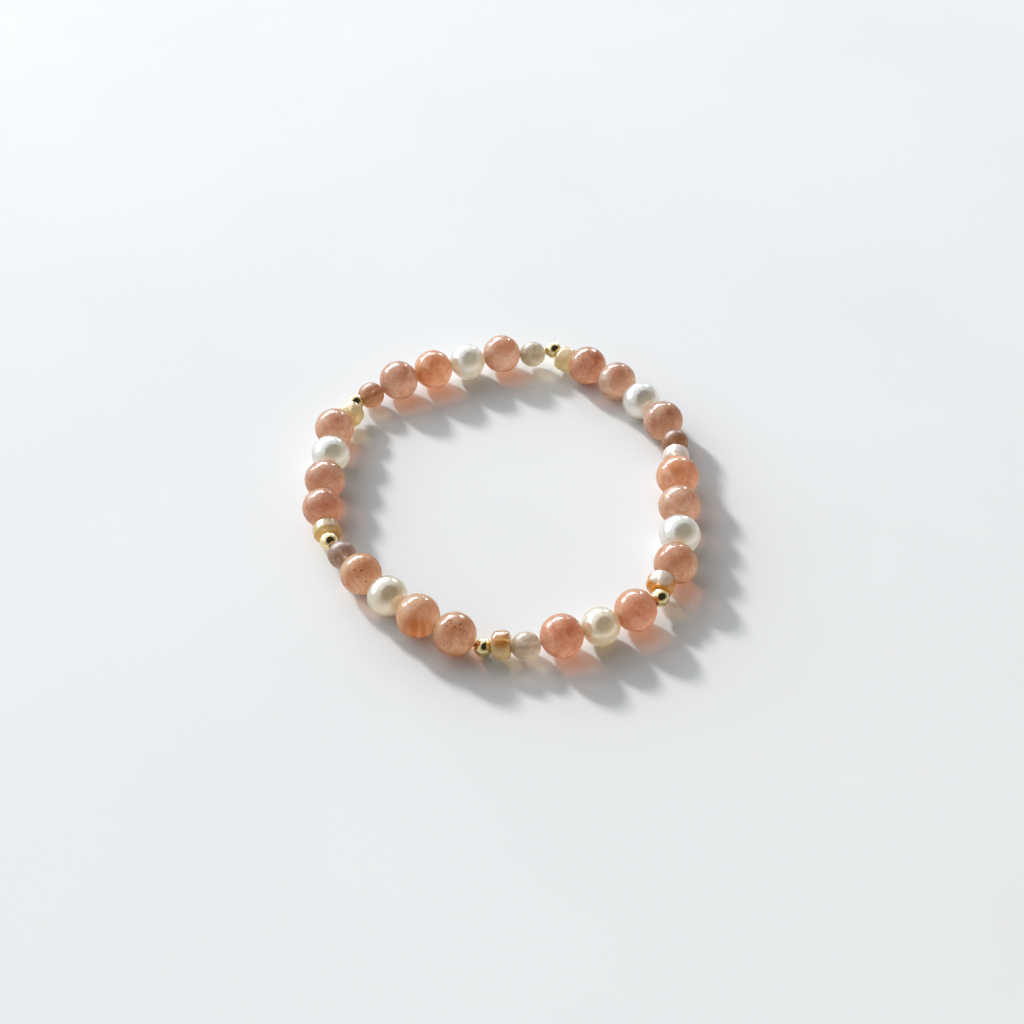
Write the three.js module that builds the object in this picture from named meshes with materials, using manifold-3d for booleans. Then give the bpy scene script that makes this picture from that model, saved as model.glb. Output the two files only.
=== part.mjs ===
// A stretch bracelet: polished stone beads and pearls, with small spacer beads between them, threaded on a
// closed loop of clear elastic and lying flat. Millimetres, +Z up, resting on Z = 0, with the origin under
// the middle of the loop.

import * as THREE from "three";
import { mergeVertices } from "three/addons/utils/BufferGeometryUtils.js";
import Module from "manifold-3d";

const wasm = await Module();
wasm.setup();

// ---- Driving dimensions ----

const PLAY = 0.06; // free play between neighbouring beads
const BORE_DIAMETER = 1.2; // the hole drilled through each large bead
const SEED_EDGE_RADIUS = 0.9; // the rounding at both ends of a seed bead
const THREAD_DIAMETER = 0.4;
const THREAD_SIDES = 8;
const THREAD_END_GAP = 0.3; // between two stretches of thread that meet inside a bead
const STRAIGHT_SHARE = 0.97; // share of a bead's length in which the thread keeps to the bead's axis

// The kinds of bead: usual diameter, length along the thread as a share of it, the sides and rows of the
// mesh, and whether the bead is large enough to be a piece of its own.
const KINDS = {
  stone: { diameter: 6.2, lengthShare: 0.97, sides: 16, rows: 8, own: true },
  pearl: { diameter: 5.85, lengthShare: 0.975, sides: 16, rows: 8, own: true },
  grey_bead: { diameter: 4.1, lengthShare: 1, sides: 12, rows: 6, own: true },
  gold_ball: { diameter: 2.7, lengthShare: 1, sides: 12, rows: 6, own: false },
  seed_bead: { diameter: 4.05, lengthShare: 0.62, sides: 12, rows: 3, own: false },
};

const LOOKS = {
  stone: { color: 0xc9835f, roughness: 0.15, metalness: 0 },
  pearl: { color: 0xe9e4d4, roughness: 0.3, metalness: 0 },
  grey_bead: { color: 0xa8968a, roughness: 0.2, metalness: 0 },
  gold_ball: { color: 0xd9a441, roughness: 0.15, metalness: 1 },
  seed_bead: { color: 0xd8b078, roughness: 0.2, metalness: 0 },
  thread: { color: 0xe6e2dc, roughness: 0.3, metalness: 0 },
};

// The line that the large beads' centres follow, seen from above and clockwise from the first bead. It is
// scaled slightly, so that the string fills it exactly.
const LOOP_POINTS = [
  [-6.5, -31.75],
  [-24.5, -13.75],
  [-26.0, 6.0],
  [-22.5, 18.0],
  [1.5, 28.75],
  [16.0, 23.5],
  [26.75, 8.75],
  [26.25, 8.0],
  [24.25, -19.5],
  [12.0, -30.75],
];

// The string, bead by bead. Stones and pearls rest on the ground. The others state the height of their
// centre, and a gold ball or seed bead also how far it stands out from the straight line between the two
// large beads beside it.
const STRING = [
  { kind: "stone", diameter: 6.2 },
  { kind: "stone", diameter: 6.3 },
  { kind: "pearl", diameter: 5.85 },
  { kind: "stone", diameter: 6.0 },
  { kind: "grey_bead", height: 2.7 },
  { kind: "gold_ball", height: 2.7, out: 1.0 },
  { kind: "seed_bead", height: 2.2, out: 0.6 },
  { kind: "stone", diameter: 6.0 },
  { kind: "stone", diameter: 6.1 },
  { kind: "pearl", diameter: 5.85 },
  { kind: "stone", diameter: 6.1 },
  { kind: "seed_bead", height: 2.7, out: -0.1 },
  { kind: "gold_ball", height: 2.9, out: 0.7 },
  { kind: "grey_bead", height: 2.2 },
  { kind: "stone", diameter: 6.2 },
  { kind: "stone", diameter: 6.2 },
  { kind: "pearl", diameter: 5.75 },
  { kind: "stone", diameter: 6.1 },
  { kind: "grey_bead", height: 2.6 },
  { kind: "gold_ball", height: 3.0, out: 1.8 },
  { kind: "seed_bead", height: 2.3, out: 1.1 },
  { kind: "stone", diameter: 6.1 },
  { kind: "stone", diameter: 6.1 },
  { kind: "pearl", diameter: 5.85 },
  { kind: "stone", diameter: 6.2 },
  { kind: "grey_bead", height: 3.0 },
  { kind: "seed_bead", height: 3.0, out: 0 },
  { kind: "stone", diameter: 6.4 },
  { kind: "stone", diameter: 6.2 },
  { kind: "pearl", diameter: 6.05 },
  { kind: "stone", diameter: 6.3 },
  { kind: "seed_bead", height: 2.9, out: 0.2 },
  { kind: "gold_ball", height: 2.9, out: 1.5 },
  { kind: "stone", diameter: 6.1 },
  { kind: "pearl", diameter: 5.55 },
  { kind: "stone", diameter: 6.2 },
  { kind: "grey_bead", height: 2.1 },
  { kind: "seed_bead", height: 2.4, out: 0.5 },
  { kind: "gold_ball", height: 1.5, out: 0.5 },
];

// The thread is cut inside large beads into plain stretches and stretches that carry small beads. In the
// string's order, each plain stretch is followed by the spacers named beside it.
const STRETCHES = [
  { plain: "thread_front_left", spacers: "spacers_left" },
  { plain: "thread_left", spacers: "spacers_back_left" },
  { plain: "thread_back_left", spacers: "spacers_back" },
  { plain: "thread_back_right", spacers: "spacers_right" },
  { plain: "thread_right", spacers: "spacers_front_right" },
  { plain: "thread_front_right", spacers: "spacers_front" },
];

// ---- Laying the string along the loop ----

function describeBead(row) {
  const kind = KINDS[row.kind];
  const diameter = row.diameter ?? kind.diameter;
  return {
    ...kind,
    kind: row.kind,
    diameter,
    halfLength: (diameter * kind.lengthShare) / 2,
    height: row.height ?? diameter / 2,
    out: row.out ?? 0,
  };
}

// A span runs from one large bead to the next, with the small beads between them.
function findSpans(beads) {
  const spans = [];
  beads.forEach((bead, index) => {
    if (!bead.own) {
      return;
    }
    const span = [bead];
    do {
      index = (index + 1) % beads.length;
      span.push(beads[index]);
    } while (!beads[index].own);
    spans.push(span);
  });
  return spans;
}

// How far a bead stands from the one before it, along the straight line between their large neighbours.
function stepBetween(bead, next) {
  const contact = bead.halfLength + next.halfLength + PLAY;
  return Math.sqrt(contact ** 2 - (next.out - bead.out) ** 2 - (next.height - bead.height) ** 2);
}

function spanLength(span) {
  let length = 0;
  for (let i = 1; i < span.length; i++) {
    length += stepBetween(span[i - 1], span[i]);
  }
  return length;
}

// The value between low and high at which a rising function passes zero.
function findZero(rising, low, high) {
  for (let round = 0; round < 50; round++) {
    const middle = (low + high) / 2;
    if (rising(middle) < 0) {
      low = middle;
    } else {
      high = middle;
    }
  }
  return (low + high) / 2;
}

// Walks the spans along the loop at a given scale. Gives the large beads' places and the share of the loop
// that the whole string takes up.
function walkLoop(spans, scale) {
  const points = LOOP_POINTS.map(([x, y]) => new THREE.Vector3(x * scale, y * scale, 0));
  const loop = new THREE.CatmullRomCurve3(points, true, "catmullrom", 0.5);
  const places = [];
  let share = 0;
  for (const span of spans) {
    const here = loop.getPoint(share);
    const length = spanLength(span);
    places.push(here);
    share = findZero((ahead) => loop.getPoint(ahead).distanceTo(here) - length, share, share + 0.25);
  }
  return { places, share };
}

function placeSmallBeads(span, start, end) {
  const along = end.clone().sub(start).normalize();
  const outward = new THREE.Vector3(-along.y, along.x, 0);
  let distance = 0;
  for (let i = 1; i < span.length - 1; i++) {
    const bead = span[i];
    distance += stepBetween(span[i - 1], bead);
    bead.place = start.clone().addScaledVector(along, distance).addScaledVector(outward, bead.out);
    bead.place.z = bead.height;
  }
}

// Gives every bead its place, and an axis halfway between the thread's directions before and after it.
function layString() {
  const beads = STRING.map(describeBead);
  const spans = findSpans(beads);
  const scale = findZero((size) => 1 - walkLoop(spans, size).share, 0.9, 1.1);
  const { places } = walkLoop(spans, scale);
  spans.forEach((span, index) => {
    const start = places[index];
    span[0].place = new THREE.Vector3(start.x, start.y, span[0].height);
    placeSmallBeads(span, start, places[(index + 1) % places.length]);
  });
  beads.forEach((bead, index) => {
    const arriving = bead.place.clone().sub(beads.at(index - 1).place).normalize();
    const leaving = beads[(index + 1) % beads.length].place.clone().sub(bead.place).normalize();
    bead.axis = arriving.add(leaving).normalize();
  });
  return beads;
}

// ---- Shapes ----

// A ball with a hole along Y, turned from an outline that closes on itself at the bore. A length share under
// one makes it slightly flatter along the thread.
function drilledBall({ diameter, lengthShare, sides, rows }) {
  const radius = diameter / 2;
  const poleAngle = Math.asin(BORE_DIAMETER / diameter);
  const outline = [];
  for (let row = 0; row <= rows; row++) {
    const angle = poleAngle + ((Math.PI - 2 * poleAngle) * row) / rows;
    outline.push(new THREE.Vector2(radius * Math.sin(angle), -radius * Math.cos(angle) * lengthShare));
  }
  outline.push(outline[0].clone());
  return new THREE.LatheGeometry(outline, sides);
}

function solidBall({ diameter, sides, rows }) {
  return new THREE.SphereGeometry(diameter / 2, sides, rows);
}

// A short drum along Y with rounded ends.
function seedDrum({ diameter, halfLength, sides, rows }) {
  const radius = diameter / 2;
  const outline = [new THREE.Vector2(0, -halfLength)];
  for (const end of [-1, 1]) {
    for (let row = 0; row <= rows; row++) {
      const angle = (Math.PI / 2) * (end < 0 ? row / rows : 1 - row / rows);
      const x = radius - SEED_EDGE_RADIUS * (1 - Math.sin(angle));
      const y = end * (halfLength - SEED_EDGE_RADIUS * (1 - Math.cos(angle)));
      outline.push(new THREE.Vector2(x, y));
    }
  }
  outline.push(new THREE.Vector2(0, halfLength));
  return new THREE.LatheGeometry(outline, sides);
}

// Turns a bead's own Y along the thread, with one of its mesh's edges straight down.
function placement(bead) {
  const upward = new THREE.Vector3(0, 0, 1).projectOnPlane(bead.axis).normalize();
  const sideways = bead.axis.clone().cross(upward);
  return new THREE.Matrix4().makeBasis(sideways, bead.axis, upward).setPosition(bead.place);
}

// A route of straight pieces between corners, which are also where a shape swept along it has its rings.
class StraightPieces extends THREE.Curve {
  constructor(corners) {
    super();
    this.corners = corners;
  }

  getPoint(share) {
    const position = share * (this.corners.length - 1);
    const piece = Math.min(Math.floor(position), this.corners.length - 2);
    return this.corners[piece].clone().lerp(this.corners[piece + 1], position - piece);
  }

  getUtoTmapping(share) {
    return share;
  }
}

// The thread from the middle of the first bead to the middle of the last. It is straight along the axis in
// each bead, and bends between the beads.
function threadTube(beads) {
  const corners = beads.flatMap((bead, index) => {
    const reach = bead.halfLength * STRAIGHT_SHARE;
    const from = index === 0 ? THREAD_END_GAP / 2 : -reach;
    const to = index === beads.length - 1 ? -THREAD_END_GAP / 2 : reach;
    return [from, to].map((distance) => bead.place.clone().addScaledVector(bead.axis, distance));
  });
  const section = new THREE.Shape().absarc(0, 0, THREAD_DIAMETER / 2, 0, 2 * Math.PI);
  return new THREE.ExtrudeGeometry(section, {
    steps: corners.length - 1,
    curveSegments: THREAD_SIDES / 2,
    extrudePath: new StraightPieces(corners),
    bevelEnabled: false,
  });
}

// ---- Joining ----

function toSolid(geometry) {
  const bare = geometry.clone();
  bare.deleteAttribute("normal");
  bare.deleteAttribute("uv");
  const merged = mergeVertices(bare, 1e-4);
  const mesh = new wasm.Mesh({
    numProp: 3,
    vertProperties: Float32Array.from(merged.attributes.position.array),
    triVerts: Uint32Array.from(merged.index.array),
  });
  mesh.merge();
  return new wasm.Manifold(mesh);
}

function fuse(geometries) {
  const solids = geometries.map(toSolid);
  const { numProp, vertProperties, triVerts } = solids.reduce((sum, solid) => sum.add(solid)).getMesh();
  const geometry = new THREE.BufferGeometry();
  geometry.setAttribute("position", new THREE.BufferAttribute(vertProperties, numProp));
  geometry.setIndex(new THREE.BufferAttribute(triVerts, 1));
  geometry.computeVertexNormals();
  return geometry;
}

// The small beads of one stretch, joined to the thread that carries them.
function spacerStretch(beads) {
  const small = beads.slice(1, -1).map((bead) => {
    const shape = bead.kind === "gold_ball" ? solidBall(bead) : seedDrum(bead);
    return shape.applyMatrix4(placement(bead));
  });
  return fuse([threadTube(beads), ...small]);
}

// ---- Assembly ----

function addMesh(group, name, geometry, look) {
  const mesh = new THREE.Mesh(geometry, new THREE.MeshStandardMaterial(LOOKS[look]));
  mesh.name = name;
  group.add(mesh);
  return mesh;
}

function addLargeBeads(group, beads) {
  const count = {};
  for (const bead of beads.filter((each) => each.own)) {
    count[bead.kind] = (count[bead.kind] ?? 0) + 1;
    const mesh = addMesh(group, `${bead.kind}_${count[bead.kind]}`, drilledBall(bead), bead.kind);
    placement(bead).decompose(mesh.position, mesh.quaternion, mesh.scale);
  }
}

// Plain thread runs through neighbouring large beads, until a span that has small beads in it.
function addThread(group, beads) {
  let plain = [];
  let stretch = 0;
  for (const span of findSpans(beads)) {
    plain.push(span[0]);
    if (span.length > 2) {
      const names = STRETCHES[stretch];
      const look = span[1].kind;
      addMesh(group, names.plain, threadTube(plain), "thread");
      addMesh(group, names.spacers, spacerStretch(span), look);
      plain = [];
      stretch += 1;
    }
  }
}

// Moves the loop so that the middle of its outline is over the origin.
function centreLoop(group, beads) {
  const outline = new THREE.Box3();
  for (const bead of beads) {
    const reach = new THREE.Vector3().setScalar(bead.diameter);
    outline.union(new THREE.Box3().setFromCenterAndSize(bead.place, reach));
  }
  const middle = outline.getCenter(new THREE.Vector3());
  group.position.set(-middle.x, -middle.y, 0);
}

const bracelet = new THREE.Group();
bracelet.name = "beaded_bracelet";
const beads = layString();
addLargeBeads(bracelet, beads);
addThread(bracelet, beads);
centreLoop(bracelet, beads);

export default bracelet;
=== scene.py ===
"""A stretch bracelet of peach feldspar beads, pearls and small spacer beads, lying on a pale surface.

It is laid out as an add-on and run as a script. Sizes in the tables are in millimetres, objects are in
metres, +Z is up, and the large beads' places come from the frame.
"""

import math
from typing import NamedTuple

import bmesh
import bpy
from bpy.props import FloatProperty, FloatVectorProperty, PointerProperty
from mathutils import Matrix, Vector, noise


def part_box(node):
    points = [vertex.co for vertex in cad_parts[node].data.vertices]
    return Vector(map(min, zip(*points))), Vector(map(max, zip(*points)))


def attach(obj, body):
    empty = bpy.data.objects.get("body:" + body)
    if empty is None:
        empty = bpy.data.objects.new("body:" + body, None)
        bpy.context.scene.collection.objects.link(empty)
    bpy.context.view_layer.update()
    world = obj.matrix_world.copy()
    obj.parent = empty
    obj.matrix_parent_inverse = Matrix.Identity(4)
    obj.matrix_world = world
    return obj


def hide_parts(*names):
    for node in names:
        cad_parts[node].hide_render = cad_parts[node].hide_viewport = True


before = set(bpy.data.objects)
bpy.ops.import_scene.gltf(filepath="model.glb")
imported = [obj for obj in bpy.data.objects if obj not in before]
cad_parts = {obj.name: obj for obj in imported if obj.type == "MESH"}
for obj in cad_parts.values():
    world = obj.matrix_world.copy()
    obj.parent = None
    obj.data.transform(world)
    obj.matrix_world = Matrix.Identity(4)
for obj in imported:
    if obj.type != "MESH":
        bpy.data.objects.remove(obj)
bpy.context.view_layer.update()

bl_info = {
    "name": "Beaded Stretch Bracelet",
    "version": (1, 0, 0),
    "blender": (4, 5, 0),
    "location": "View3D > Sidebar > Bracelet",
    "description": "Builds a bracelet of polished stones, pearls and small spacer beads",
    "category": "Add Mesh",
}

MM = 0.001
BODY = "root"
PLAY = 0.06 * MM  # free play between neighbouring beads, as in the solids


# ---- The string ----


class Bead(NamedTuple):
    """A row of the string. Height and out are a small bead's place, in millimetres: the height of its
    centre, and how far it stands out from the straight line between its large neighbours."""

    piece: str
    kind: str
    node: str
    look: str = ""
    height: float = 0
    out: float = 0


# In the string's order, clockwise from the front. A large bead's piece has its node's name.
STRING = [
    Bead("stone_1", "stone", "stone_1", "freckled"),
    Bead("stone_2", "stone", "stone_2", "amber_core"),
    Bead("pearl_1", "pearl", "pearl_1", "cream"),
    Bead("stone_3", "stone", "stone_3", "freckled"),
    Bead("grey_bead_1", "grey", "grey_bead_1", "dusky"),
    Bead("gold_left", "gold", "spacers_left", height=2.7, out=1.0),
    Bead("seed_left", "seed", "spacers_left", "cream", height=2.2, out=0.6),
    Bead("stone_4", "stone", "stone_4", "russet"),
    Bead("stone_5", "stone", "stone_5", "tan"),
    Bead("pearl_2", "pearl", "pearl_2", "white"),
    Bead("stone_6", "stone", "stone_6", "tan"),
    Bead("seed_back_left", "seed", "spacers_back_left", "honey_cream", height=2.7, out=-0.1),
    Bead("gold_back_left", "gold", "spacers_back_left", height=2.9, out=0.7),
    Bead("grey_bead_2", "grey", "grey_bead_2", "brown"),
    Bead("stone_7", "stone", "stone_7", "tan"),
    Bead("stone_8", "stone", "stone_8", "orange"),
    Bead("pearl_3", "pearl", "pearl_3", "white"),
    Bead("stone_9", "stone", "stone_9", "pale"),
    Bead("grey_bead_3", "grey", "grey_bead_3", "olive"),
    Bead("gold_back", "gold", "spacers_back", height=3.0, out=1.8),
    Bead("seed_back", "seed", "spacers_back", "honey_cream", height=2.3, out=1.1),
    Bead("stone_10", "stone", "stone_10", "russet"),
    Bead("stone_11", "stone", "stone_11", "pale"),
    Bead("pearl_4", "pearl", "pearl_4", "white"),
    Bead("stone_12", "stone", "stone_12", "tan"),
    Bead("grey_bead_4", "grey", "grey_bead_4", "brown"),
    Bead("seed_right", "seed", "spacers_right", "pale", height=3.0, out=0),
    Bead("stone_13", "stone", "stone_13", "orange"),
    Bead("stone_14", "stone", "stone_14", "pale"),
    Bead("pearl_5", "pearl", "pearl_5", "white"),
    Bead("stone_15", "stone", "stone_15", "rose"),
    Bead("seed_front_right", "seed", "spacers_front_right", "opal_over_honey", height=2.9, out=0.2),
    Bead("gold_front_right", "gold", "spacers_front_right", height=2.9, out=1.5),
    Bead("stone_16", "stone", "stone_16", "salmon"),
    Bead("pearl_6", "pearl", "pearl_6", "cream"),
    Bead("stone_17", "stone", "stone_17", "salmon"),
    Bead("grey_bead_5", "grey", "grey_bead_5", "grey"),
    Bead("seed_front", "seed", "spacers_front", "honey_over_opal", height=2.4, out=0.5),
    Bead("gold_front", "gold", "spacers_front", height=1.5, out=0.5),
]

THREAD_NODES = [
    "thread_front_left",
    "thread_left",
    "thread_back_left",
    "thread_back_right",
    "thread_right",
    "thread_front_right",
]

# Length of a large bead along the thread, as a share of its width.
LENGTH_SHARES = {"stone": 0.97, "pearl": 0.975, "grey": 1.0}

# Radius and length of the two kinds of small bead, in millimetres.
SMALL_BEADS = {
    "gold": {"radius": 1.35, "length": 2.7},
    "seed": {"radius": 2.025, "length": 2.511},
}

# How each kind of bead is turned: the steps over its outline and the segments round it, how far its
# surface goes in and out as a share of its radius, and the length of those swells in millimetres.
TURNING = {
    "stone": {"steps": 44, "segments": 72, "depth": 0.006, "swell": 2.2},
    "pearl": {"steps": 44, "segments": 72, "depth": 0.03, "swell": 3.4},
    "grey": {"steps": 36, "segments": 60, "depth": 0.008, "swell": 1.6},
    "gold": {"steps": 36, "segments": 56, "depth": 0.004, "swell": 1.0},
    "seed": {"steps": 12, "segments": 56, "depth": 0.02, "swell": 1.8},
}
ROLL_STEP = 2.4  # radians by which each bead is rolled further on the thread than the one before it
SEED_EDGE = 0.8 * MM  # rounding of a seed bead's outer edge
LIP_STEPS = 4  # steps over the rounded edge of a hole

# How far each kind of bead's pattern is shifted from one bead to the next, in millimetres along X, Y
# and Z.
PATTERN_SHIFTS = {
    "stone": (7.3, 3.1, 5.7),
    "pearl": (4.1, 2.3, 0),
    "grey": (5.9, 0, 1.7),
    "seed": (2.9, 0, 0),
}


class Placed(NamedTuple):
    """A bead with its place in the frame, in metres."""

    row: Bead
    centre: Vector
    radius: float
    half_length: float
    axis: Vector
    number: int


def measure_large_bead(row):
    """Centre and radius of a drilled ball's solid, whose widest row of corners is its middle one."""
    low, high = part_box(row.node)
    centre = (low + high) / 2
    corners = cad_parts[row.node].data.vertices
    radius = max((corner.co - centre).length for corner in corners)
    return centre, radius


def is_large(row):
    return row.kind not in SMALL_BEADS


def step_between(first, second):
    """How far a bead stands from the one before it, along the line between their large neighbours."""
    contact = first["half_length"] + second["half_length"] + PLAY
    sideways = second["out"] - first["out"]
    upwards = second["height"] - first["height"]
    return math.sqrt(contact**2 - sideways**2 - upwards**2)


def describe(row):
    """Radius, half length, height and out of a bead in metres, with the centre of a large one."""
    if is_large(row):
        centre, radius = measure_large_bead(row)
        return {
            "centre": centre,
            "radius": radius,
            "half_length": radius * LENGTH_SHARES[row.kind],
            "height": centre.z,
            "out": 0,
        }
    size = SMALL_BEADS[row.kind]
    return {
        "centre": None,
        "radius": size["radius"] * MM,
        "half_length": size["length"] / 2 * MM,
        "height": row.height * MM,
        "out": row.out * MM,
    }


def place_small_beads(beads):
    """Gives each small bead its centre, from the large bead before it to the one after it."""
    for index, bead in enumerate(beads):
        if bead["centre"] is not None:
            start = bead["centre"]
            distance = 0
            continue
        following = beads[index + 1 :] + beads
        ahead = next(each for each in following if each["centre"] is not None)
        along = Vector((ahead["centre"].x - start.x, ahead["centre"].y - start.y, 0)).normalized()
        outward = Vector((-along.y, along.x, 0))
        distance += step_between(beads[index - 1], bead)
        bead["small_centre"] = start + along * distance + outward * bead["out"]
        bead["small_centre"].z = bead["height"]
    for bead in beads:
        bead["centre"] = bead["centre"] or bead["small_centre"]


def lay_string():
    """Every bead of the string with its place and its axis, halfway between the thread's directions."""
    beads = [describe(row) for row in STRING]
    place_small_beads(beads)
    placed = []
    for index, bead in enumerate(beads):
        arriving = (bead["centre"] - beads[index - 1]["centre"]).normalized()
        leaving = (beads[(index + 1) % len(beads)]["centre"] - bead["centre"]).normalized()
        axis = (arriving + leaving).normalized()
        placed.append(
            Placed(STRING[index], bead["centre"], bead["radius"], bead["half_length"], axis, index)
        )
    return placed


BEADS = lay_string()


def beads_of(kind):
    return [bead for bead in BEADS if bead.row.kind == kind]


def pattern_offset(bead):
    return tuple(bead.number * shift for shift in PATTERN_SHIFTS[bead.row.kind])


# ---- Colours and node trees ----


def linear(hex_colour):
    """An sRGB hex colour such as "#E8C27A" as linear red, green, blue and alpha."""
    channels = []
    for start in (1, 3, 5):
        value = int(hex_colour[start : start + 2], 16) / 255
        channels.append(value / 12.92 if value <= 0.04045 else ((value + 0.055) / 1.055) ** 2.4)
    return (*channels, 1.0)


def rgb(hex_colour):
    return linear(hex_colour)[:3]


def add_node(tree, kind, inputs=None, **settings):
    """Adds a node, sets its settings, and gives each input its value or the output that feeds it."""
    node = tree.nodes.new(kind)
    for name, value in settings.items():
        setattr(node, name, value)
    for name, value in (inputs or {}).items():
        if isinstance(value, bpy.types.NodeSocket):
            tree.links.new(value, node.inputs[name])
        else:
            node.inputs[name].default_value = value
    return node


def new_material(name):
    """An empty node material and its tree."""
    material = bpy.data.materials.new(name)
    material.use_nodes = True
    material.node_tree.nodes.clear()
    return material, material.node_tree


def glow_through(tree, surface, colour, warmth, share):
    """Gives a share of a bead's body to light that crosses it and leaves scattered on the other side. The
    way through the bead filters that light by the colour warmth."""
    filtered = add_node(
        tree, "ShaderNodeMix", {0: 1.0, 6: colour, 7: warmth}, data_type="RGBA", blend_type="MULTIPLY"
    )
    glow = add_node(tree, "ShaderNodeBsdfTranslucent", {"Color": filtered.outputs[2]})
    return add_node(
        tree, "ShaderNodeMixShader", {0: share, 1: surface.outputs[0], 2: glow.outputs[0]}
    )


# Heights from a bead's centre, as shares of its radius, between which more and more light leaves it.
LIGHT_LEAVES_FROM = 0.05
LIGHT_LEAVES_FULLY = -0.8


def let_light_cross(tree, body, entering, leaving, radius):
    """Closes a bead's material so that a lamp's light enters the bead on its lit side and leaves it in
    its lower half, where a clear ball bends it towards the surface that it lies on. All other light meets
    the body as it is."""
    low = height_share(tree, LIGHT_LEAVES_FROM * radius, LIGHT_LEAVES_FULLY * radius)
    outside = layer_colours(tree, linear("#000000"), [(low, linear(leaving))])
    side = add_node(tree, "ShaderNodeNewGeometry")
    through = layer_colours(tree, outside, [(side.outputs["Backfacing"], linear(entering))])
    clear = add_node(tree, "ShaderNodeBsdfTransparent", {"Color": through})
    path = add_node(tree, "ShaderNodeLightPath")
    surface = add_node(
        tree,
        "ShaderNodeMixShader",
        {0: path.outputs["Is Shadow Ray"], 1: body.outputs[0], 2: clear.outputs[0]},
    )
    add_node(tree, "ShaderNodeOutputMaterial", {"Surface": surface.outputs[0]})


def millimetres(tree, offset, stretch=(1, 1, 1)):
    """The bead's own coordinates in millimetres, shifted so that no two beads have the same pattern."""
    own = add_node(tree, "ShaderNodeTexCoord")
    return add_node(
        tree,
        "ShaderNodeMapping",
        {"Vector": own.outputs["Object"], "Location": offset, "Scale": [share / MM for share in stretch]},
    ).outputs["Vector"]


def layer_colours(tree, colour, layers):
    """Lays colours over one another, each as far as its own share, and gives the colour that is seen."""
    for share, layer in layers:
        seen = add_node(tree, "ShaderNodeMix", {0: share, 6: colour, 7: layer}, data_type="RGBA")
        colour = seen.outputs[2]
    return colour


def height_share(tree, low, high):
    """A share that goes from 0 at one height above a bead's centre to 1 at another."""
    own = add_node(tree, "ShaderNodeTexCoord")
    split = add_node(tree, "ShaderNodeSeparateXYZ", {"Vector": own.outputs["Object"]})
    return add_node(
        tree,
        "ShaderNodeMapRange",
        {"Value": split.outputs["Z"], "From Min": low, "From Max": high},
        interpolation_type="SMOOTHSTEP",
    ).outputs["Result"]


class Pattern(NamedTuple):
    """A cloudy pattern: the grain of its noise in millimetres with the noise's detail and distortion, and
    the part of the noise's range, from low to high, over which a share goes from start to end."""

    grain: float
    detail: float
    distortion: float
    low: float
    high: float
    start: float
    end: float


PATTERNS = {
    "peach_clouds": Pattern(2.6, detail=3.0, distortion=0.9, low=0.38, high=0.66, start=0.0, end=1.0),
    "peach_veins": Pattern(1.6, detail=3.0, distortion=0.6, low=0.45, high=0.75, start=0.0, end=0.6),
    "peach_grains": Pattern(0.28, detail=2.0, distortion=0.0, low=0.5, high=0.7, start=0.0, end=0.6),
    "amber_streaks": Pattern(1.2, detail=3.0, distortion=0.0, low=0.3, high=0.6, start=0.3, end=1.0),
    "freckle_edges": Pattern(0.3, detail=2.0, distortion=0.0, low=0.3, high=0.7, start=0.7, end=1.5),
    "nacre_patches": Pattern(3.2, detail=3.0, distortion=0.6, low=0.35, high=0.7, start=0.0, end=1.0),
    "gold_wear": Pattern(0.5, detail=4.0, distortion=0.0, low=0.4, high=0.7, start=0.0, end=1.0),
    "gold_roughness": Pattern(0.5, detail=4.0, distortion=0.0, low=0.3, high=0.7, start=0.05, end=0.14),
    "opal_wisps": Pattern(1.1, detail=3.0, distortion=0.3, low=0.5, high=0.8, start=0.0, end=0.4),
    "elastic_clouds": Pattern(0.6, detail=3.0, distortion=0.0, low=0.4, high=0.7, start=0.0, end=1.0),
    "elastic_roughness": Pattern(0.9, detail=3.0, distortion=0.0, low=0.3, high=0.7, start=0.15, end=0.3),
    "board_tone": Pattern(60, detail=3.0, distortion=0.0, low=0.3, high=0.7, start=0.0, end=1.0),
}


def cloudy_share(tree, place, name):
    """A share that follows one of the cloudy patterns."""
    pattern = PATTERNS[name]
    cloud = add_node(
        tree,
        "ShaderNodeTexNoise",
        {
            "Vector": place,
            "Scale": 1 / pattern.grain,
            "Detail": pattern.detail,
            "Distortion": pattern.distortion,
        },
    )
    return add_node(
        tree,
        "ShaderNodeMapRange",
        {
            "Value": cloud.outputs["Fac"],
            "From Min": pattern.low,
            "From Max": pattern.high,
            "To Min": pattern.start,
            "To Max": pattern.end,
        },
        interpolation_type="SMOOTHSTEP",
    ).outputs["Result"]


def swell_normal(tree, place, grain, detail, strength, depth):
    """The normal of a polished surface that isn't quite even. Its swells' grain and depth are given in
    millimetres."""
    swells = add_node(
        tree, "ShaderNodeTexNoise", {"Vector": place, "Scale": 1 / grain, "Detail": detail}
    )
    bump = add_node(
        tree,
        "ShaderNodeBump",
        {"Strength": strength, "Distance": depth * MM, "Height": swells.outputs["Fac"]},
    )
    return bump.outputs["Normal"]


# ---- What a user would change ----


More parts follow.
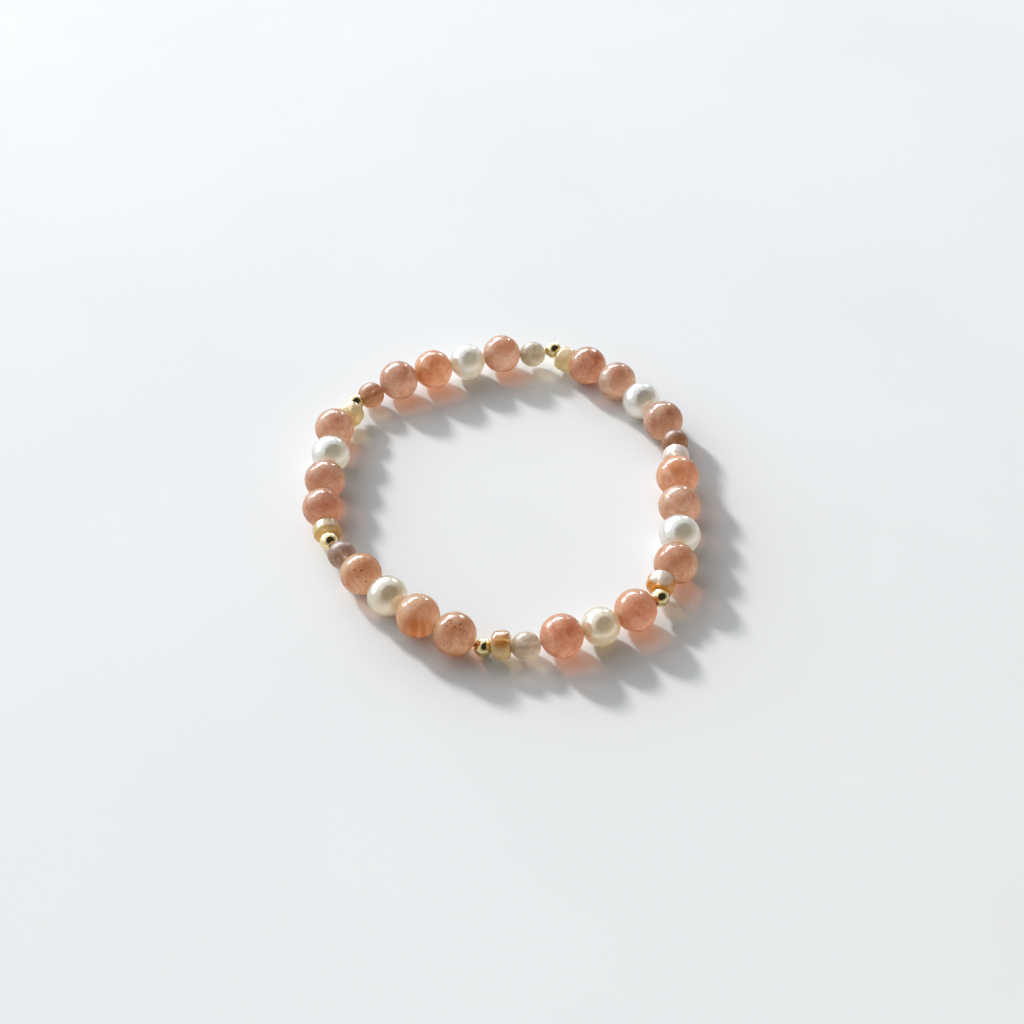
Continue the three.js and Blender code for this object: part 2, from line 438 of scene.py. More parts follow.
class BeadSizes(bpy.types.PropertyGroup):
    """Sizes of the beads' holes and of the thread."""

    bore: FloatProperty(
        name="Bead hole",
        description="Diameter of the hole drilled through each large bead",
        default=0.6 * MM,
        min=0.5 * MM,
        unit="LENGTH",
    )
    lip: FloatProperty(
        name="Hole edge",
        description="Radius of the rounded edge where the hole meets the bead's surface",
        default=0.1 * MM,
        min=0,
        unit="LENGTH",
    )
    thread: FloatProperty(
        name="Thread",
        description="Diameter of the stretched elastic thread",
        default=0.4 * MM,
        min=0.2 * MM,
        unit="LENGTH",
    )
    seed_hole: FloatProperty(
        name="Seed bead hole",
        description="Diameter of the wide hole of the small glass beads",
        default=1.3 * MM,
        min=0.5 * MM,
        unit="LENGTH",
    )


class BeadFinish(bpy.types.PropertyGroup):
    """Colours that all beads of one kind share."""

    freckle: FloatVectorProperty(
        name="Freckles",
        description="Colour of the small iron specks in the peach stones",
        default=rgb("#6A3322"),
        size=3,
        subtype="COLOR",
    )
    gold: FloatVectorProperty(
        name="Gold",
        description="Colour of the gold plating",
        default=rgb("#F1E0B0"),
        size=3,
        subtype="COLOR",
    )
    elastic: FloatVectorProperty(
        name="Elastic",
        description="Tint of the clear elastic thread",
        default=rgb("#E8E2DA"),
        size=3,
        subtype="COLOR",
    )


class StageSettings(bpy.types.PropertyGroup):
    """The floor and the light that the bracelet is shown in."""

    floor: FloatVectorProperty(
        name="Floor",
        description="Colour of the matt surface that the bracelet lies on",
        default=rgb("#DCDBD8"),
        size=3,
        subtype="COLOR",
    )
    sun_height: FloatProperty(
        name="Key light height",
        description="Angle of the key light above the floor",
        default=math.radians(26),
        subtype="ANGLE",
    )
    sun_turn: FloatProperty(
        name="Key light turn",
        description="Angle of the key light from straight behind the bracelet towards the left",
        default=math.radians(39),
        subtype="ANGLE",
    )
    sun_strength: FloatProperty(
        name="Key light strength",
        description="Strength of the key light",
        default=3.4,
        min=0,
    )


# ---- Shapes ----


def arc(centre, radius, start, end, steps):
    """Points of an arc as (distance from the axis, height), angles in radians from straight up."""
    points = []
    for step in range(steps + 1):
        angle = start + (end - start) * step / steps
        points.append((centre[0] + radius * math.sin(angle), centre[1] + radius * math.cos(angle)))
    return points


def drilled_ball_outline(radius, half_length, bore, lip, steps):
    """A closed outline round one side of a drilled ball: over the outside, then back down the hole."""
    hole = bore / 2
    lip_height = math.sqrt((radius - lip) ** 2 - (hole + lip) ** 2)
    lip_angle = math.atan2(hole + lip, lip_height)
    top = arc((hole + lip, lip_height), lip, -math.pi / 2, lip_angle, LIP_STEPS)
    outside = arc((0, 0), radius, lip_angle, math.pi - lip_angle, steps)[1:-1]
    bottom = [(across, -height) for across, height in reversed(top)]
    flatness = half_length / radius
    return [(across, height * flatness) for across, height in top + outside + bottom]


def seed_outline(radius, half_length, hole, edge, steps):
    """A closed outline round one side of a short tube whose ends are rounded over. The inner edge's
    rounding takes up a share of the end face that the outer one leaves."""
    inner_share = 0.6
    inner_edge = (radius - hole / 2 - edge) * inner_share
    top_inner = (hole / 2 + inner_edge, half_length - inner_edge)
    top_outer = (radius - edge, half_length - edge)
    inside = arc(top_inner, inner_edge, -math.pi / 2, 0, steps)
    outside = arc(top_outer, edge, 0, math.pi / 2, steps)
    top = inside + outside
    return top + [(across, -height) for across, height in reversed(top)]


def turn_outline(name, outline, segments, shape):
    """Turns a closed outline about Z. shape moves each corner of the finished form."""
    form = bmesh.new()
    rings = []
    for segment in range(segments):
        angle = 2 * math.pi * segment / segments
        direction = Vector((math.cos(angle), math.sin(angle), 0))
        ring = []
        for across, height in outline:
            corner = direction * across + Vector((0, 0, height))
            ring.append(form.verts.new(shape(corner)))
        rings.append(ring)
    for segment, ring in enumerate(rings):
        following = rings[(segment + 1) % segments]
        for index in range(len(outline)):
            after = (index + 1) % len(outline)
            form.faces.new((ring[index], ring[after], following[after], following[index]))
    bmesh.ops.recalc_face_normals(form, faces=form.faces)
    mesh = bpy.data.meshes.new(name)
    form.to_mesh(mesh)
    form.free()
    mesh.shade_smooth()
    return mesh


def touching(bead):
    """Half the length at which a bead closes its share of the play, as the stretched thread makes it."""
    return bead.half_length + PLAY / 2


def waviness(seed, depth, grain):
    """A change of shape that moves a bead's surface in and out by half of depth, in swells as long as
    grain. Each seed takes another part of the same noise."""
    shift = Vector((seed * 3.7, seed * 1.9, seed * 5.3))

    def shape(corner):
        return corner * (1 + depth / 2 * noise.noise(corner / grain + shift))

    return shape


def stand_in(bead, mesh, material):
    """Puts a bead's finished form in its place, on its body and for its solid."""
    turn = bead.axis.to_track_quat("Z", "Y").to_matrix().to_4x4()
    roll = Matrix.Rotation(bead.number * ROLL_STEP, 4, "Z")
    mesh.transform(turn @ roll)
    mesh.materials.append(material)
    piece = bpy.data.objects.new(bead.row.piece, mesh)
    piece.location = bead.centre
    bpy.context.scene.collection.objects.link(piece)
    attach(piece, BODY)
    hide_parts(bead.row.node)


def add_beads(kind, material_of):
    """Adds every bead of one kind, with the material that material_of gives for it."""
    sizes = bpy.context.scene.bracelet_sizes
    turning = TURNING[kind]
    for bead in beads_of(kind):
        size = (bead.radius, touching(bead))
        if kind == "seed":
            outline = seed_outline(*size, sizes.seed_hole, SEED_EDGE, turning["steps"])
        else:
            outline = drilled_ball_outline(*size, sizes.bore, sizes.lip, turning["steps"])
        shape = waviness(bead.number, turning["depth"], turning["swell"] * MM)
        mesh = turn_outline(bead.row.piece, outline, turning["segments"], shape)
        stand_in(bead, mesh, material_of(bead))


# ---- Peach stones ----

# Tints of the peach feldspar: its body, the pale clouds in it and the deeper veins.
PEACH_TINTS = {
    "salmon": {"body": "#E2B494", "cloud": "#EED0B8", "vein": "#CC8A66", "freckles": 0.0},
    "freckled": {"body": "#DEB994", "cloud": "#EAD1B4", "vein": "#C68E66", "freckles": 0.55},
    "amber_core": {"body": "#E8C29C", "cloud": "#F2DAC0", "vein": "#D69C6A", "freckles": 0.0},
    "orange": {"body": "#E8BE96", "cloud": "#F1D4BC", "vein": "#D4986C", "freckles": 0.0},
    "russet": {"body": "#D9AE8E", "cloud": "#E7C9B2", "vein": "#C28464", "freckles": 0.0},
    "tan": {"body": "#DBB99E", "cloud": "#E7D1BC", "vein": "#C29072", "freckles": 0.0},
    "pale": {"body": "#E1C3AA", "cloud": "#EEDCCA", "vein": "#CEA284", "freckles": 0.0},
    "rose": {"body": "#DCB89A", "cloud": "#E9D1B8", "vein": "#C79474", "freckles": 0.0},
}

# Spots of a stone, as shares of its radius: their place from its centre, and how far from there their
# edge and their core lie. The amber is a clot low in the front, and the freckles crowd together on the
# top.
AMBER_SPOT = {"place": (0.05, -0.95, 0.1), "edge": 0.95, "core": 0.35}
FRECKLE_SPOT = {"place": (0.05, -0.35, 0.9), "edge": 0.6, "core": 0.2}

FRECKLE_CELL = 0.6  # millimetres from one place for a freckle to the next
FRECKLE_EDGE = 0.3  # from a freckle's middle to its edge, as a share of that
FRECKLE_CORE = 0.16  # from its middle to where it is at its darkest
STRAY_FRECKLES = 0.06  # share of those places that hold a freckle away from the crowd


def nearness(tree, radius, spot, to_edge=0.0, to_core=1.0):
    """A value that changes from to_edge at a spot's edge to to_core at its core."""
    own = add_node(tree, "ShaderNodeTexCoord")
    middle = [share * radius for share in spot["place"]]
    away = add_node(
        tree, "ShaderNodeVectorMath", {0: own.outputs["Object"], 1: middle}, operation="DISTANCE"
    )
    return add_node(
        tree,
        "ShaderNodeMapRange",
        {
            "Value": away.outputs["Value"],
            "From Min": spot["edge"] * radius,
            "From Max": spot["core"] * radius,
            "To Min": to_edge,
            "To Max": to_core,
        },
        interpolation_type="SMOOTHSTEP",
    ).outputs["Result"]


def amber_share(tree, radius):
    """How much of the amber in the second stone shows. Its edges are ragged."""
    place = millimetres(tree, (3, 8, 5), stretch=(1.2, 0.6, 0.3))
    streaks = cloudy_share(tree, place, "amber_streaks")
    near = nearness(tree, radius, AMBER_SPOT)
    return add_node(tree, "ShaderNodeMath", {0: near, 1: streaks}, operation="MULTIPLY").outputs[0]


def freckle_share(tree, place, crowd, radius):
    """How much of the freckles shows. Crowd is the share of the places in the crowd that hold a freckle
    besides the stray ones."""
    chance = nearness(tree, radius, FRECKLE_SPOT, STRAY_FRECKLES, STRAY_FRECKLES + crowd)
    cells = add_node(tree, "ShaderNodeTexVoronoi", {"Vector": place, "Scale": 1 / FRECKLE_CELL})
    ragged = cloudy_share(tree, place, "freckle_edges")
    reach = add_node(
        tree, "ShaderNodeMath", {0: cells.outputs["Distance"], 1: ragged}, operation="MULTIPLY"
    )
    spot = add_node(
        tree,
        "ShaderNodeMapRange",
        {"Value": reach.outputs[0], "From Min": FRECKLE_EDGE, "From Max": FRECKLE_CORE},
        interpolation_type="SMOOTHSTEP",
    )
    chosen = add_node(tree, "ShaderNodeSeparateColor", {"Color": cells.outputs["Color"]})
    few = add_node(
        tree, "ShaderNodeMath", {0: chosen.outputs["Red"], 1: chance}, operation="LESS_THAN"
    )
    return add_node(
        tree, "ShaderNodeMath", {0: spot.outputs["Result"], 1: few.outputs[0]}, operation="MULTIPLY"
    ).outputs[0]


def polished_peach_feldspar(bead):
    """Peach moonstone, drilled and tumbled to a high polish. The polish gives sharp window highlights
    over a body that light enters, so that the shaded side still glows, with soft clouds, veins and
    freckles. The real grain is too fine to show in the render, so it is drawn as coarse as it needs to
    show."""
    tint = PEACH_TINTS[bead.row.look]
    finish = bpy.context.scene.bracelet_finish
    material, tree = new_material(f"polished_peach_feldspar_{bead.number}")
    place = millimetres(tree, pattern_offset(bead))
    along_vein = millimetres(tree, pattern_offset(bead), stretch=(1.0, 0.25, 1.0))
    clouds = cloudy_share(tree, place, "peach_clouds")
    layers = [
        (clouds, linear(tint["cloud"])),
        (cloudy_share(tree, along_vein, "peach_veins"), linear(tint["vein"])),
        (cloudy_share(tree, place, "peach_grains"), linear(tint["vein"])),
    ]
    if bead.row.look == "amber_core":
        layers.append((amber_share(tree, bead.radius), linear("#CC8A4C")))
    if tint["freckles"]:
        freckles = freckle_share(tree, place, tint["freckles"], bead.radius)
        layers.append((freckles, (*finish.freckle, 1)))
    colour = layer_colours(tree, linear(tint["body"]), layers)
    polish = add_node(
        tree,
        "ShaderNodeMapRange",
        {"Value": clouds, "To Min": 0.03, "To Max": 0.06},
        interpolation_type="SMOOTHSTEP",
    )
    shader = add_node(
        tree,
        "ShaderNodeBsdfPrincipled",
        {
            "Base Color": colour,
            "Roughness": polish.outputs["Result"],
            "Normal": swell_normal(tree, place, grain=0.8, detail=3.6, strength=0.9, depth=0.06),
            "IOR": 1.53,
            "Subsurface Weight": 1.0,
            "Subsurface Radius": (1.0, 0.55, 0.38),
            "Subsurface Scale": 5.0 * MM,
            "Coat Weight": 0.25,
            "Coat Roughness": 0.3,
        },
    )
    body = glow_through(tree, shader, colour, linear("#E8D8CA"), 0.6)
    let_light_cross(tree, body, "#CCCCCC", "#F0A078", bead.radius)
    return material


class BRACELET_OT_add_peach_stones(bpy.types.Operator):
    """Adds the polished peach feldspar beads"""

    bl_idname = "bracelet.add_peach_stones"
    bl_label = "Add peach stones"

    def execute(self, context):
        add_beads("stone", polished_peach_feldspar)
        return {"FINISHED"}


# ---- Pearls ----

PEARL_TINTS = {
    "cream": {"body": "#EDEADF", "overtone": "#E5E0D1"},
    "white": {"body": "#EEF2F4", "overtone": "#E8ECEC"},
}


def nacre(bead):
    """Cultured pearl: thin layers of nacre, grown and lightly polished. They give a broad satin glow
    under a thin gloss, with a faint second tone in patches. The gloss has a high index, because stacked
    layers mirror more light than one surface does."""
    tint = PEARL_TINTS[bead.row.look]
    material, tree = new_material(f"cultured_pearl_nacre_{bead.number}")
    place = millimetres(tree, pattern_offset(bead))
    patches = cloudy_share(tree, place, "nacre_patches")
    colour = layer_colours(tree, linear(tint["body"]), [(patches, linear(tint["overtone"]))])
    satin = add_node(
        tree,
        "ShaderNodeMapRange",
        {"Value": patches, "To Min": 0.12, "To Max": 0.18},
        interpolation_type="SMOOTHSTEP",
    )
    shader = add_node(
        tree,
        "ShaderNodeBsdfPrincipled",
        {
            "Base Color": colour,
            "Roughness": satin.outputs["Result"],
            "Normal": swell_normal(tree, place, grain=0.8, detail=3.0, strength=0.2, depth=0.02),
            "Metallic": 0.55,
            "IOR": 1.6,
            "Subsurface Weight": 0.9,
            "Subsurface Radius": (1.0, 0.85, 0.65),
            "Subsurface Scale": 4.0 * MM,
            "Coat Weight": 1.0,
            "Coat Roughness": 0.13,
            "Coat IOR": 2.1,
        },
    )
    body = glow_through(tree, shader, colour, linear("#F8E5C8"), 0.4)
    let_light_cross(tree, body, "#C0C0BC", "#6A6054", bead.radius)
    return material


class BRACELET_OT_add_pearls(bpy.types.Operator):
    """Adds the near-round pearls"""

    bl_idname = "bracelet.add_pearls"
    bl_label = "Add pearls"

    def execute(self, context):
        add_beads("pearl", nacre)
        return {"FINISHED"}


# ---- Grey beads ----

GREY_TINTS = {
    "grey": {"body": "#C0B09C", "fibre": "#E4D8C8"},
    "dusky": {"body": "#A98C7A", "fibre": "#CEBCAA"},
    "brown": {"body": "#AE8260", "fibre": "#CCAA86"},
    "olive": {"body": "#BCB098", "fibre": "#DCD2BC"},
}
FIBRE_GRAIN = 1.1  # about how far apart the fibres lie, in millimetres


def smoky_moonstone(bead):
    """Grey moonstone, drilled and polished. It is half clear, so the surface beneath shows through as a
    blur, and fine pale fibres cross it at a slant."""
    tint = GREY_TINTS[bead.row.look]
    material, tree = new_material(f"polished_smoky_moonstone_{bead.number}")
    place = millimetres(tree, pattern_offset(bead), stretch=(0.6, 1.3, 1.0))
    pattern = add_node(
        tree,
        "ShaderNodeTexNoise",
        {"Vector": place, "Scale": 1 / FIBRE_GRAIN, "Detail": 4.0, "Distortion": 1.2},
    )
    level = add_node(
        tree, "ShaderNodeMath", {0: pattern.outputs["Fac"], 1: 0.5}, operation="SUBTRACT"
    )
    ridge = add_node(tree, "ShaderNodeMath", {0: level.outputs[0]}, operation="ABSOLUTE")
    fibres = add_node(
        tree,
        "ShaderNodeMapRange",
        {"Value": ridge.outputs[0], "From Min": 0.04, "From Max": 0.0, "To Min": 0.1, "To Max": 0.8},
        interpolation_type="SMOOTHSTEP",
    )
    layers = [(fibres.outputs["Result"], linear(tint["fibre"]))]
    colour = layer_colours(tree, linear(tint["body"]), layers)
    shader = add_node(
        tree,
        "ShaderNodeBsdfPrincipled",
        {
            "Base Color": colour,
            "Roughness": 0.4,
            "Specular IOR Level": 0.3,
            "IOR": 1.52,
            "Transmission Weight": 0.4,
            "Subsurface Weight": 1.0,
            "Subsurface Radius": (1.0, 0.8, 0.65),
            "Subsurface Scale": 4.0 * MM,
        },
    )
    body = glow_through(tree, shader, colour, linear("#FFFFFF"), 0.4)
    let_light_cross(tree, body, "#C0B4A8", "#C8BCB0", bead.radius)
    return material


class BRACELET_OT_add_grey_beads(bpy.types.Operator):
    """Adds the small half-clear grey beads"""

    bl_idname = "bracelet.add_grey_beads"
    bl_label = "Add grey beads"

    def execute(self, context):
        add_beads("grey", smoky_moonstone)
        return {"FINISHED"}


# ---- Gold balls ----


def gold_plate():
    """Gold-plated brass, pressed, rolled and polished. It mirrors the room and the pale floor, and faint
    marks from tumbling soften the mirror in places. The marks are drawn coarser than real, so that they
    show."""
    finish = bpy.context.scene.bracelet_finish
    material, tree = new_material("polished_gold_plate")
    place = millimetres(tree, (0, 0, 0))
    worn = cloudy_share(tree, place, "gold_wear")
    shader = add_node(
        tree,
        "ShaderNodeBsdfPrincipled",
        {
            "Base Color": layer_colours(tree, (*finish.gold, 1), [(worn, linear("#E8D092"))]),
            "Roughness": cloudy_share(tree, place, "gold_roughness"),
            "Metallic": 1.0,
        },
    )
    add_node(tree, "ShaderNodeOutputMaterial", {"Surface": shader.outputs[0]})
    return material


class BRACELET_OT_add_gold_balls(bpy.types.Operator):
    """Adds the polished gold balls"""

    bl_idname = "bracelet.add_gold_balls"
    bl_label = "Add gold balls"

    def execute(self, context):
        material = gold_plate()
        add_beads("gold", lambda bead: material)
        return {"FINISHED"}


# ---- Seed beads ----

# Tints of the drawn glass at the top of the bead as it lies, and at the bottom. The change from bottom to
# top is painted light and shade for how light falls through the glass.
GLASS_TINTS = {
    "honey_over_opal": {"top": "#C58E46", "bottom": "#CDB88A"},
    "opal_over_honey": {"top": "#E6EAE6", "bottom": "#CE963C"},
    "honey_cream": {"top": "#E7DABC", "bottom": "#E2D0A2"},
    "cream": {"top": "#E4D6AC", "bottom": "#E0C47E"},
    "pale": {"top": "#E8E4DE", "bottom": "#E0D6CC"},
}

# Heights above a seed bead's centre between which the bottom tint turns into the top tint: painted light
# and shade that changes with height.
SHADE_CHANGE_BOTTOM = 1.0 * MM
SHADE_CHANGE_TOP = 1.7 * MM


def height_shaded_glass(bead):
    """Drawn glass cane, cut short and fire-polished. Its tint goes softly from the bottom tint to the top
    tint with height above the bead's centre as it lies, which is painted light and shade for how light
    crosses the glass."""
    tint = GLASS_TINTS[bead.row.look]
    material, tree = new_material(f"fire_polished_banded_glass_{bead.number}")
    place = millimetres(tree, pattern_offset(bead))
    layers = [
        # painted light and shade: the top tint is laid over the bottom tint by height above the bead's
        # centre
        (height_share(tree, SHADE_CHANGE_BOTTOM, SHADE_CHANGE_TOP), linear(tint["top"])),
        (cloudy_share(tree, place, "opal_wisps"), linear("#F0E8D6")),
    ]
    colour = layer_colours(tree, linear(tint["bottom"]), layers)
    shader = add_node(
        tree,
        "ShaderNodeBsdfPrincipled",
        {
            "Base Color": colour,
            "Roughness": 0.25,
            "IOR": 1.5,
            "Transmission Weight": 0.35,
            "Subsurface Weight": 1.0,
            "Subsurface Radius": (1.0, 0.7, 0.4),
            "Subsurface Scale": 1.5 * MM,
            "Coat Weight": 0.6,
            "Coat Roughness": 0.1,
        },
    )
    body = glow_through(tree, shader, colour, linear("#FFFFFF"), 0.3)
    let_light_cross(tree, body, "#B8B0A0", "#C8B090", bead.radius)
    return material


class BRACELET_OT_add_seed_beads(bpy.types.Operator):
    """Adds the short glass seed beads"""

    bl_idname = "bracelet.add_seed_beads"
    bl_label = "Add seed beads"

    def execute(self, context):
        add_beads("seed", height_shaded_glass)
        return {"FINISHED"}


# ---- Thread ----


def clear_elastic():
    """Polyurethane elastic, drawn as a clear round thread. It is glossy and half clear, with the faint
    cloudiness that stretching gives it."""
    finish = bpy.context.scene.bracelet_finish
    material, tree = new_material("drawn_clear_elastic")
    place = millimetres(tree, (0, 0, 0))
    clouds = cloudy_share(tree, place, "elastic_clouds")
    shader = add_node(
        tree,
        "ShaderNodeBsdfPrincipled",
        {
            "Base Color": layer_colours(tree, (*finish.elastic, 1), [(clouds, linear("#CFC6BA"))]),
            "Roughness": cloudy_share(tree, place, "elastic_roughness"),
            "IOR": 1.5,
            "Transmission Weight": 0.6,
        },
    )
    add_node(tree, "ShaderNodeOutputMaterial", {"Surface": shader.outputs[0]})
    return material


# Where the thread's corners lie in a bead, as shares of half its length from its centre.
CORNER_SHARES = (-0.97, -0.3, 0.3, 0.97)

THREAD_SIDES = 12


def thread_corners():
    """The thread's route: straight along the axis in each bead, bending between beads."""
    corners = []
    for bead in BEADS:
        for share in CORNER_SHARES:
            corners.append(bead.centre + bead.axis * bead.half_length * share)
    return corners


def sweep_closed(name, corners, radius, sides):
    """A round tube along a closed route that lies nearly level."""
    form = bmesh.new()
    rings = []
    count = len(corners)
    for index, corner in enumerate(corners):
        ahead = (corners[(index + 1) % count] - corners[index - 1]).normalized()
        upward = (Vector((0, 0, 1)) - ahead * ahead.z).normalized()
        sideways = ahead.cross(upward)
        ring = []
        for side in range(sides):
            angle = 2 * math.pi * side / sides
            reach = (sideways * math.cos(angle) + upward * math.sin(angle)) * radius
            ring.append(form.verts.new(corner + reach))
        rings.append(ring)
    for index, ring in enumerate(rings):
        following = rings[(index + 1) % count]
        for side in range(sides):
            after = (side + 1) % sides
            form.faces.new((ring[side], ring[after], following[after], following[side]))
    bmesh.ops.recalc_face_normals(form, faces=form.faces)
    mesh = bpy.data.meshes.new(name)
    form.to_mesh(mesh)
    form.free()
    mesh.shade_smooth()
    return mesh


class BRACELET_OT_add_thread(bpy.types.Operator):
    """Adds the elastic thread that carries the beads"""

    bl_idname = "bracelet.add_thread"
    bl_label = "Add thread"

    def execute(self, context):
        sizes = context.scene.bracelet_sizes
        mesh = sweep_closed("elastic_thread", thread_corners(), sizes.thread / 2, THREAD_SIDES)
        mesh.materials.append(clear_elastic())
        piece = bpy.data.objects.new("elastic_thread", mesh)
        context.scene.collection.objects.link(piece)
        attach(piece, BODY)
        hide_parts(*THREAD_NODES)
        return {"FINISHED"}


# ---- Stage ----

# Softboxes in the directions of a window's bright panes. Turn is from straight behind the bracelet
# towards the left, height is above the floor, and wide and tall are what the pane is seen under, all in
# degrees. Only the curtain lights surfaces. The panes show in what is glossy.
PANES = [
    {"name": "curtain", "turn": 47, "height": 24, "wide": 80, "tall": 34, "power": 2.4},
    {"name": "pane_1", "turn": 4, "height": 28, "wide": 10, "tall": 9, "power": 75},
    {"name": "pane_2", "turn": 19, "height": 25, "wide": 15, "tall": 14, "power": 75},
    {"name": "pane_3", "turn": 36, "height": 29, "wide": 13, "tall": 8, "power": 75},
    {"name": "pane_4", "turn": 52, "height": 19, "wide": 13, "tall": 15, "power": 60},
    {"name": "pane_right", "turn": -20, "height": 12, "wide": 7, "tall": 7, "power": 75},
]
PANE_DISTANCE = 1.2
KEY_LIGHT_DISTANCE = 1.0
KEY_LIGHT_WIDTH = math.radians(7)  # the angle under which it is seen, which softens the shadows' edges

# Parts of the room: turn and height as above, in degrees.
BRIGHT_WALL = {"turn": 45, "height": 15}
DARK_CEILING = {"turn": -138, "height": 53}
DARK_REACH = 53  # degrees from the middle of the dark part to its edge
DARK_EDGE = 0.08  # half of the softness of that edge, as a cosine
DARK_FROM = {"low": 0.2, "full": 0.42}  # how steeply up the dark part begins, as a sine
CLUTTER_GRAIN = 0.35
CLUTTER_SHARE = 0.6  # how much the clutter moves the dark part's edge in and out

FLOOR_RADIUS = 3.0
FLOOR_DROP = 0.005 * MM  # keeps the floor clear of the beads' lowest points

CAMERA_HEIGHT = math.radians(44.546)  # above the floor
CAMERA_DISTANCE = 258.416 * MM
CAMERA_LENS = 60.61  # on a 36 mm sensor
LOOKED_AT = Vector((1.525, -3.02, 0)) * MM


def direction_of(turn, height):
    """A direction from its turn towards the left of straight back and its height above the floor."""
    return Vector(
        (-math.sin(turn) * math.cos(height), math.cos(turn) * math.cos(height), math.sin(height))
    )


def direction_to(row):
    return direction_of(math.radians(row["turn"]), math.radians(row["height"]))


def add_light(name, data, direction, distance):
    lamp = bpy.data.objects.new(name, data)
    lamp.location = direction * distance
    lamp.rotation_euler = direction.to_track_quat("Z", "Y").to_euler()
    lamp.visible_camera = False
    bpy.context.scene.collection.objects.link(lamp)
    return lamp


def add_panes():
    for pane in PANES:
        data = bpy.data.lights.new(pane["name"], "AREA")
        data.shape = "RECTANGLE"
        data.size = 2 * PANE_DISTANCE * math.tan(math.radians(pane["wide"] / 2))
        data.size_y = 2 * PANE_DISTANCE * math.tan(math.radians(pane["tall"] / 2))
        data.energy = pane["power"] * math.pi * data.size * data.size_y
        data.color = rgb("#E6F1FF")
        lamp = add_light(pane["name"], data, direction_to(pane), PANE_DISTANCE)
        lamp.visible_diffuse = pane["name"] == "curtain"


def add_key_light(stage):
    data = bpy.data.lights.new("key_light", "SUN")
    data.energy = stage.sun_strength
    data.angle = KEY_LIGHT_WIDTH
    data.color = rgb("#FDFDFF")
    direction = direction_of(stage.sun_turn, stage.sun_height)
    lamp = add_light("key_light", data, direction, KEY_LIGHT_DISTANCE)
    lamp.visible_glossy = False


def towards_share(tree, row, low, high, clutter=0.0):
    """A share that goes from 0 to 1 as the cosine between the looked-up direction and the row's goes from
    low to high. Clutter is a value that is added to that cosine."""
    looked_up = add_node(tree, "ShaderNodeTexCoord").outputs["Generated"]
    cosine = add_node(
        tree, "ShaderNodeVectorMath", {0: looked_up, 1: direction_to(row)}, operation="DOT_PRODUCT"
    )
    moved = add_node(
        tree, "ShaderNodeMath", {0: cosine.outputs["Value"], 1: clutter}, operation="ADD"
    )
    return add_node(
        tree,
        "ShaderNodeMapRange",
        {"Value": moved.outputs[0], "From Min": low, "From Max": high},
        interpolation_type="SMOOTHSTEP",
    ).outputs["Result"]


def add_room():
    """A room that is dark overhead and in front, and bright low down on the window's side."""
    world = bpy.data.worlds.new("dim_room")
    world.use_nodes = True
    tree = world.node_tree
    tree.nodes.clear()
    place = add_node(tree, "ShaderNodeTexCoord").outputs["Generated"]
    things = add_node(
        tree, "ShaderNodeTexNoise", {"Vector": place, "Scale": 1 / CLUTTER_GRAIN, "Detail": 5.0}
    )
    clutter = add_node(
        tree, "ShaderNodeMath", {0: things.outputs["Fac"], 1: CLUTTER_SHARE}, operation="MULTIPLY"
    ).outputs[0]
    edge = math.cos(math.radians(DARK_REACH)) + CLUTTER_SHARE / 2
    within = towards_share(tree, DARK_CEILING, edge - DARK_EDGE, edge + DARK_EDGE, clutter)
    steepness = add_node(tree, "ShaderNodeSeparateXYZ", {"Vector": place}).outputs["Z"]
    steep = add_node(
        tree,
        "ShaderNodeMapRange",
        {"Value": steepness, "From Min": DARK_FROM["low"], "From Max": DARK_FROM["full"]},
        interpolation_type="SMOOTHSTEP",
    ).outputs["Result"]
    dark = add_node(tree, "ShaderNodeMath", {0: within, 1: steep}, operation="MULTIPLY").outputs[0]
    layers = [
        (towards_share(tree, BRIGHT_WALL, -0.3, 0.9), linear("#ECF2F8")),
        (dark, linear("#2E2B26")),
    ]
    colour = layer_colours(tree, linear("#949290"), layers)
    background = add_node(tree, "ShaderNodeBackground", {"Color": colour, "Strength": 1.4})
    add_node(tree, "ShaderNodeOutputWorld", {"Surface": background.outputs["Background"]})
    bpy.context.scene.world = world


def matt_floor(stage):
    """Matt white board, coated smooth. It has no gloss, and only the faintest cloudiness."""
    material, tree = new_material("matt_coated_board")
    place = millimetres(tree, (0, 0, 0))
    tone = cloudy_share(tree, place, "board_tone")
    shader = add_node(
        tree,
        "ShaderNodeBsdfPrincipled",
        {
            "Base Color": layer_colours(tree, (*stage.floor, 1), [(tone, linear("#D9D8D5"))]),
            "Roughness": 0.9,
            "Specular IOR Level": 0.2,
        },
    )
    add_node(tree, "ShaderNodeOutputMaterial", {"Surface": shader.outputs[0]})
    return material


def add_camera():
    data = bpy.data.cameras.new("camera")
    data.sensor_width = 36
    data.lens = CAMERA_LENS
    data.clip_start = 1 * MM
    data.clip_end = 20
    camera = bpy.data.objects.new("camera", data)
    back = Vector((0, -math.cos(CAMERA_HEIGHT), math.sin(CAMERA_HEIGHT)))
    camera.location = LOOKED_AT + back * CAMERA_DISTANCE
    camera.rotation_euler = (math.pi / 2 - CAMERA_HEIGHT, 0, 0)
    bpy.context.scene.collection.objects.link(camera)
    bpy.context.scene.camera = camera


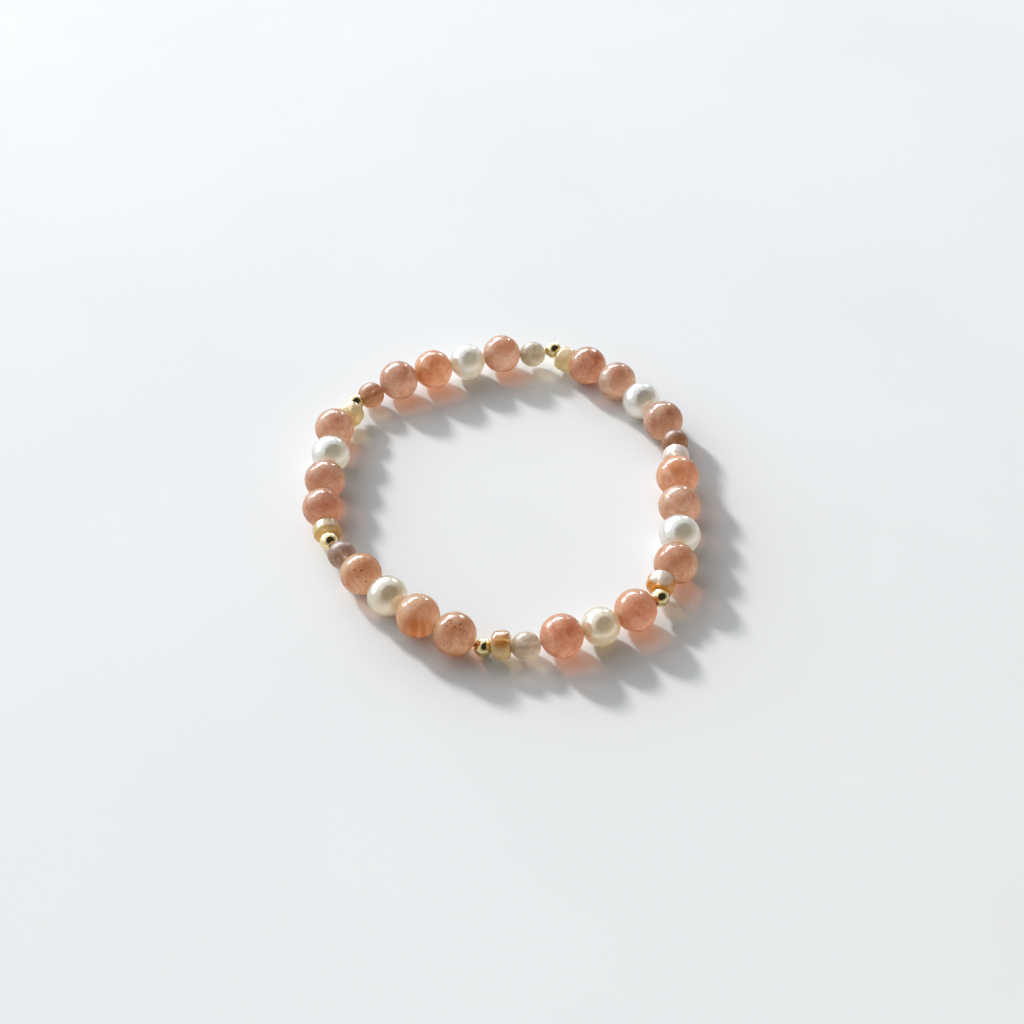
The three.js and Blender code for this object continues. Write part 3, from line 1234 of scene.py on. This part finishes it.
class BRACELET_OT_add_stage(bpy.types.Operator):
    """Adds the floor, the lights and the camera"""

    bl_idname = "bracelet.add_stage"
    bl_label = "Add stage"

    def execute(self, context):
        stage = context.scene.bracelet_stage
        form = bmesh.new()
        bmesh.ops.create_circle(form, cap_ends=True, segments=96, radius=FLOOR_RADIUS)
        mesh = bpy.data.meshes.new("floor")
        form.to_mesh(mesh)
        form.free()
        floor = bpy.data.objects.new("floor", mesh)
        floor.location.z = -FLOOR_DROP
        mesh.materials.append(matt_floor(stage))
        context.scene.collection.objects.link(floor)
        add_key_light(stage)
        add_panes()
        add_room()
        add_camera()
        context.scene.view_settings.view_transform = "Standard"
        return {"FINISHED"}


# ---- Panel and registration ----

STEPS = [
    BRACELET_OT_add_peach_stones,
    BRACELET_OT_add_pearls,
    BRACELET_OT_add_grey_beads,
    BRACELET_OT_add_gold_balls,
    BRACELET_OT_add_seed_beads,
    BRACELET_OT_add_thread,
    BRACELET_OT_add_stage,
]


class BRACELET_PT_panel(bpy.types.Panel):
    """Sizes, colours and steps of the bracelet"""

    bl_label = "Beaded bracelet"
    bl_space_type = "VIEW_3D"
    bl_region_type = "UI"
    bl_category = "Bracelet"

    def draw(self, context):
        scene = context.scene
        for group in (scene.bracelet_sizes, scene.bracelet_finish, scene.bracelet_stage):
            box = self.layout.box()
            for name in group.bl_rna.properties.keys():
                if name not in ("rna_type", "name"):
                    box.prop(group, name)
        for step in STEPS:
            self.layout.operator(step.bl_idname)


GROUPS = {
    "bracelet_sizes": BeadSizes,
    "bracelet_finish": BeadFinish,
    "bracelet_stage": StageSettings,
}


def register():
    for group in GROUPS.values():
        bpy.utils.register_class(group)
    for name, group in GROUPS.items():
        setattr(bpy.types.Scene, name, PointerProperty(type=group))
    for step in STEPS:
        bpy.utils.register_class(step)
    bpy.utils.register_class(BRACELET_PT_panel)


def unregister():
    bpy.utils.unregister_class(BRACELET_PT_panel)
    for step in reversed(STEPS):
        bpy.utils.unregister_class(step)
    for name in GROUPS:
        delattr(bpy.types.Scene, name)
    for group in reversed(GROUPS.values()):
        bpy.utils.unregister_class(group)


def main():
    register()
    for step in STEPS:
        family, name = step.bl_idname.split(".")
        getattr(getattr(bpy.ops, family), name)()


if __name__ == "__main__":
    main()
